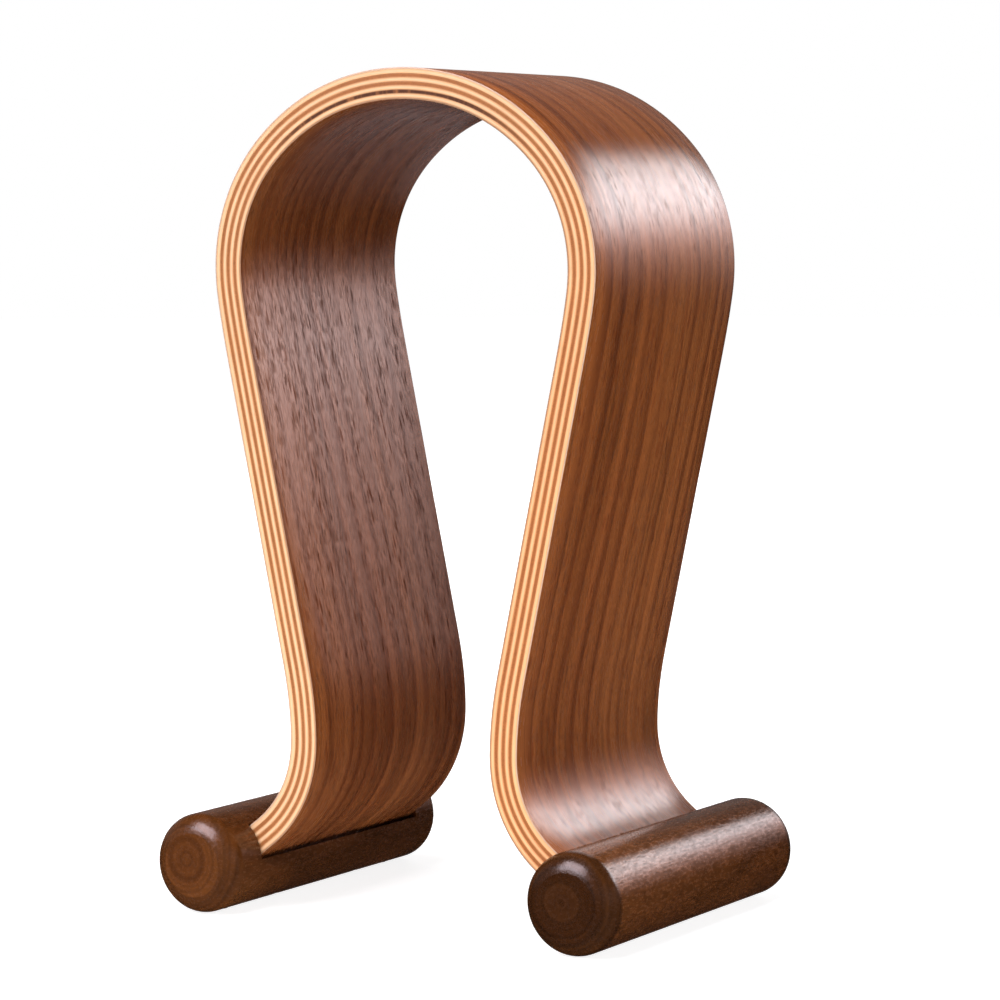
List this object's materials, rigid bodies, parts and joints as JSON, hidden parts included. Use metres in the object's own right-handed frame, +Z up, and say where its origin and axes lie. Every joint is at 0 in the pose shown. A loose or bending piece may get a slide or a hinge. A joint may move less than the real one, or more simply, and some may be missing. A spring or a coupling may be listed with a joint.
{
  "type": "headphone stand",
  "caption": "Omega-shaped bent plywood headphone stand with walnut veneer faces, resting on two turned walnut foot bars.",
  "frame": {"origin": "on the resting plane, under the middle of the stand", "axes": "+Z up; +X across the omega, from the left foot bar to the right one; +Y along the foot bars and across the strip, away from the viewer"},
  "size_m": [0.1564, 0.1168, 0.2486],
  "materials": {
    "walnut_veneer": "satin lacquered walnut face veneer, grain along the strip",
    "core_long_grain": "pale core ply, sealed edge, grain along the strip",
    "core_cross_grain": "brown core ply, sealed edge, end grain showing",
    "walnut_solid": "satin lacquered dark solid walnut, turned",
    "screw_steel": "zinc plated steel",
    "rubber_pad": "matt black rubber"
  },
  "bodies": {
    "root": {"outer_walnut_veneer": "walnut_veneer", "core_ply_1": "core_long_grain", "core_ply_2": "core_cross_grain", "core_ply_3": "core_long_grain", "core_ply_4": "core_cross_grain", "core_ply_5": "core_long_grain", "core_ply_6": "core_cross_grain", "core_ply_7": "core_long_grain", "inner_walnut_veneer": "walnut_veneer", "left_foot_bar": "walnut_solid", "right_foot_bar": "walnut_solid", "left_front_screw": "screw_steel", "left_rear_screw": "screw_steel", "right_front_screw": "screw_steel", "right_rear_screw": "screw_steel", "left_front_rubber_pad": "rubber_pad", "left_rear_rubber_pad": "rubber_pad", "right_front_rubber_pad": "rubber_pad", "right_rear_rubber_pad": "rubber_pad"}
  },
  "joints": []
}
